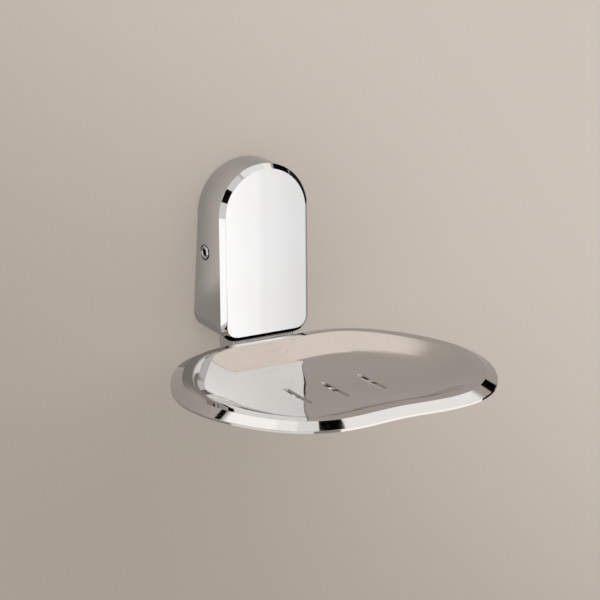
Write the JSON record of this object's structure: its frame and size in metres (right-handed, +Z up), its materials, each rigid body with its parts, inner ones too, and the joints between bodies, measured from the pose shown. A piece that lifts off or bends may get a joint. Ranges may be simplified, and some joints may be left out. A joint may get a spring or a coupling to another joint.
{
  "type": "wall-mounted soap dish",
  "caption": "Wall-mounted soap dish: an oval dish with drain slots, on an arm below an arched cover that a set screw clamps over a concealed wall bracket.",
  "frame": {"origin": "middle of the wall bracket's back, on the wall's surface", "axes": "+X to the right as seen from the room, +Y into the wall, +Z up"},
  "size_m": [0.134, 0.1611, 0.0934],
  "materials": {
    "chrome": "mirror-polished chrome plate",
    "zinc_plate": "satin zinc-plated steel",
    "nylon": "matt moulded nylon"
  },
  "bodies": {
    "wall_side": {"wall_bracket": "zinc_plate", "upper_wall_screw": "zinc_plate", "lower_wall_screw": "zinc_plate", "upper_washer": "zinc_plate", "lower_washer": "zinc_plate", "upper_wall_plug": "nylon", "lower_wall_plug": "nylon"},
    "holder": {"cover_shell": "chrome", "support_arm": "chrome", "soap_tray": "chrome", "left_arm_screw": "zinc_plate", "right_arm_screw": "zinc_plate", "left_dish_screw": "zinc_plate", "right_dish_screw": "zinc_plate"},
    "set_screw_body": {"set_screw": "chrome"}
  },
  "joints": [
    {"name": "holder_lift_off", "type": "slide", "parent": "wall_side", "child": "holder", "axis": [0, -1, 0], "range_m": [0, 0.02]},
    {"name": "set_screw_turn", "type": "hinge", "parent": "holder", "child": "set_screw_body", "pos_m": [-0.0175, -0.0065, 0], "axis": [-1, 0, 0], "range_deg": [0, 720]}
  ]
}
